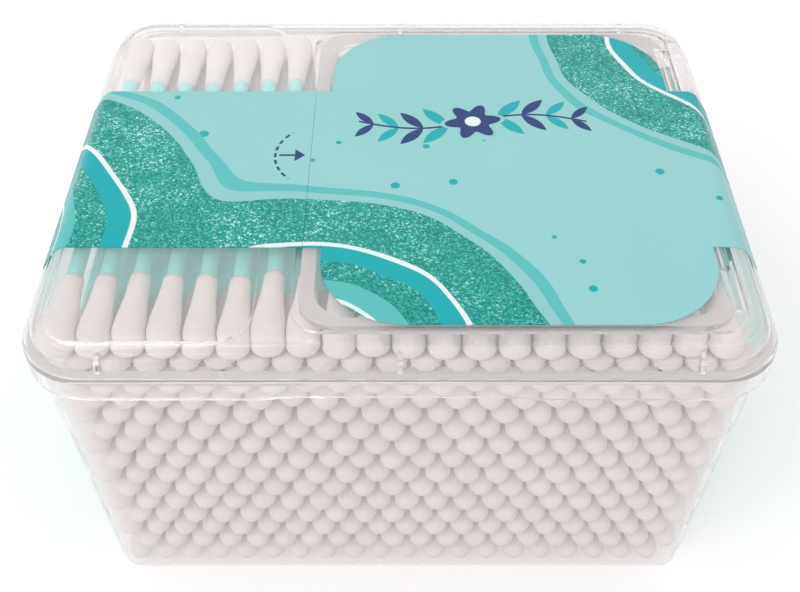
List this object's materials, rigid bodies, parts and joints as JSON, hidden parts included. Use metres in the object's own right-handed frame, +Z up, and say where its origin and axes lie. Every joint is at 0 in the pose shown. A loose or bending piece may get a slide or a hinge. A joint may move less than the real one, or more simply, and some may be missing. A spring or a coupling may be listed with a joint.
{
  "type": "cotton swab box",
  "caption": "Clear tapered tub with a clear lid and a hinged flap, a turquoise film label, and cotton buds lying in nested rows inside.",
  "frame": {"origin": "on the table under the middle of the tub", "axes": "+X to the right along the long side, towards the hinge of the flap, +Y to the back along the buds, +Z up"},
  "size_m": [0.1016, 0.0832, 0.0574],
  "materials": {
    "clear_plastic": "clear injection-moulded polypropylene, slightly hazy, with glossy edges",
    "label_film": "printed adhesive film, pale turquoise with darker glittering bands",
    "stick_plastic": "mint coloured extruded plastic",
    "cotton": "white wound cotton wool with fine loose fibres"
  },
  "bodies": {
    "tub": {"tub": "clear_plastic", "sticks_01": "stick_plastic", "front_tips_01": "cotton", "back_tips_01": "cotton", "sticks_02": "stick_plastic", "front_tips_02": "cotton", "back_tips_02": "cotton", "sticks_03": "stick_plastic", "front_tips_03": "cotton", "back_tips_03": "cotton", "sticks_04": "stick_plastic", "front_tips_04": "cotton", "back_tips_04": "cotton", "sticks_05": "stick_plastic", "front_tips_05": "cotton", "back_tips_05": "cotton", "sticks_06": "stick_plastic", "front_tips_06": "cotton", "back_tips_06": "cotton", "sticks_07": "stick_plastic", "front_tips_07": "cotton", "back_tips_07": "cotton", "sticks_08": "stick_plastic", "front_tips_08": "cotton", "back_tips_08": "cotton", "sticks_09": "stick_plastic", "front_tips_09": "cotton", "back_tips_09": "cotton", "sticks_10": "stick_plastic", "front_tips_10": "cotton", "back_tips_10": "cotton", "sticks_11": "stick_plastic", "front_tips_11": "cotton", "back_tips_11": "cotton", "sticks_12": "stick_plastic", "front_tips_12": "cotton", "back_tips_12": "cotton", "sticks_13": "stick_plastic", "front_tips_13": "cotton", "back_tips_13": "cotton", "sticks_14": "stick_plastic", "front_tips_14": "cotton", "back_tips_14": "cotton", "sticks_15": "stick_plastic", "front_tips_15": "cotton", "back_tips_15": "cotton"},
    "lid": {"lid_frame": "clear_plastic", "label_left": "label_film", "label_right": "label_film"},
    "flap": {"flap": "clear_plastic", "label_panel": "label_film"}
  },
  "joints": [
    {"name": "lid_lift", "type": "slide", "parent": "tub", "child": "lid", "axis": [0, 0, 1], "range_m": [0, 0.03]},
    {"name": "flap_hinge", "type": "hinge", "parent": "lid", "child": "flap", "pos_m": [0.04471, 0, 0.05654], "axis": [0, 1, 0], "range_deg": [0, 105]}
  ]
}
